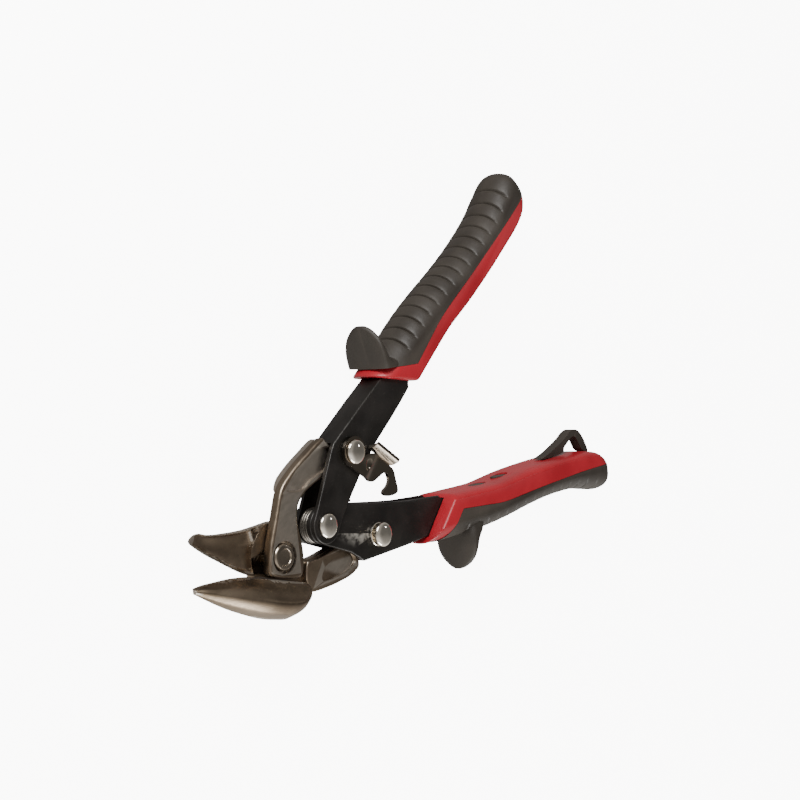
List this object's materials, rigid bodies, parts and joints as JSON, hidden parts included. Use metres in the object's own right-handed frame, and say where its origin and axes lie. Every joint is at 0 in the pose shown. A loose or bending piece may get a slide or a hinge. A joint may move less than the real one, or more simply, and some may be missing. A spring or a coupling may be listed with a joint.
{
  "type": "aviation snips",
  "caption": "Offset compound-lever metal snips, open, with shear jaws, rivet linkage, latch, spring and two-tone grips with finger guards.",
  "frame": {"origin": "middle of the bounding box's base, on the surface that the snips lie on with their far side down", "axes": "+X from the jaws towards the handles' ends, +Y towards the upper handle, +Z out of the near side, along the pivots"},
  "size_m": [0.2203, 0.1408, 0.0208],
  "materials": {
    "forged_steel": "satin forged and ground steel",
    "black_steel": "satin black oxide",
    "chrome": "polished nickel plate",
    "dark_steel": "oiled dark steel",
    "red_plastic": "satin moulded plastic",
    "black_rubber": "matte overmoulded rubber"
  },
  "bodies": {
    "lower_handle": {"lower_frame": "black_steel", "lower_grip_core": "red_plastic", "lower_grip_overmold": "black_rubber", "lower_inlay_front": "black_rubber", "lower_inlay_rear": "black_rubber", "hang_loop": "black_rubber", "fulcrum_rivet": "chrome", "lower_tail_rivet": "chrome", "spring_bush": "dark_steel", "torsion_spring": "dark_steel"},
    "upper_handle": {"upper_frame": "black_steel", "upper_grip_core": "red_plastic", "upper_grip_overmold": "black_rubber", "upper_inlay_front": "black_rubber", "upper_inlay_rear": "black_rubber", "upper_tail_rivet": "chrome", "latch_spring_washer": "chrome"},
    "near_blade": {"near_blade": "forged_steel", "pivot_bolt": "chrome", "pivot_nut": "dark_steel", "pivot_washer": "dark_steel", "pivot_lock_washer": "dark_steel"},
    "far_blade": {"far_blade": "forged_steel"},
    "latch": {"latch": "chrome"}
  },
  "joints": [
    {"name": "squeeze", "type": "hinge", "parent": "lower_handle", "child": "upper_handle", "pos_m": [-0.04815, 0, 0.0104], "axis": [0, 0, -1], "range_deg": [0, 32], "stiffness_Nm_per_rad": 0.8, "springref_deg": -34.38, "deforming": ["torsion_spring"]},
    {"name": "near_tail", "type": "hinge", "parent": "upper_handle", "child": "near_blade", "pos_m": [-0.02492, 0.01707, 0.0104], "axis": [0, 0, 1], "range_deg": [0, 7.4]},
    {"name": "far_tail", "type": "hinge", "parent": "lower_handle", "child": "far_blade", "pos_m": [-0.02492, -0.01707, 0.0104], "axis": [0, 0, -1], "range_deg": [0, 7.4]},
    {"name": "latch_turn", "type": "hinge", "parent": "upper_handle", "child": "latch", "pos_m": [-0.02492, 0.01707, 0.0104], "axis": [0, 0, -1], "range_deg": [0, 12]}
  ],
  "couplings": [
    {"joint": "near_tail", "follows": "squeeze", "ratio": 0.2275},
    {"joint": "far_tail", "follows": "squeeze", "ratio": 0.2275}
  ]
}
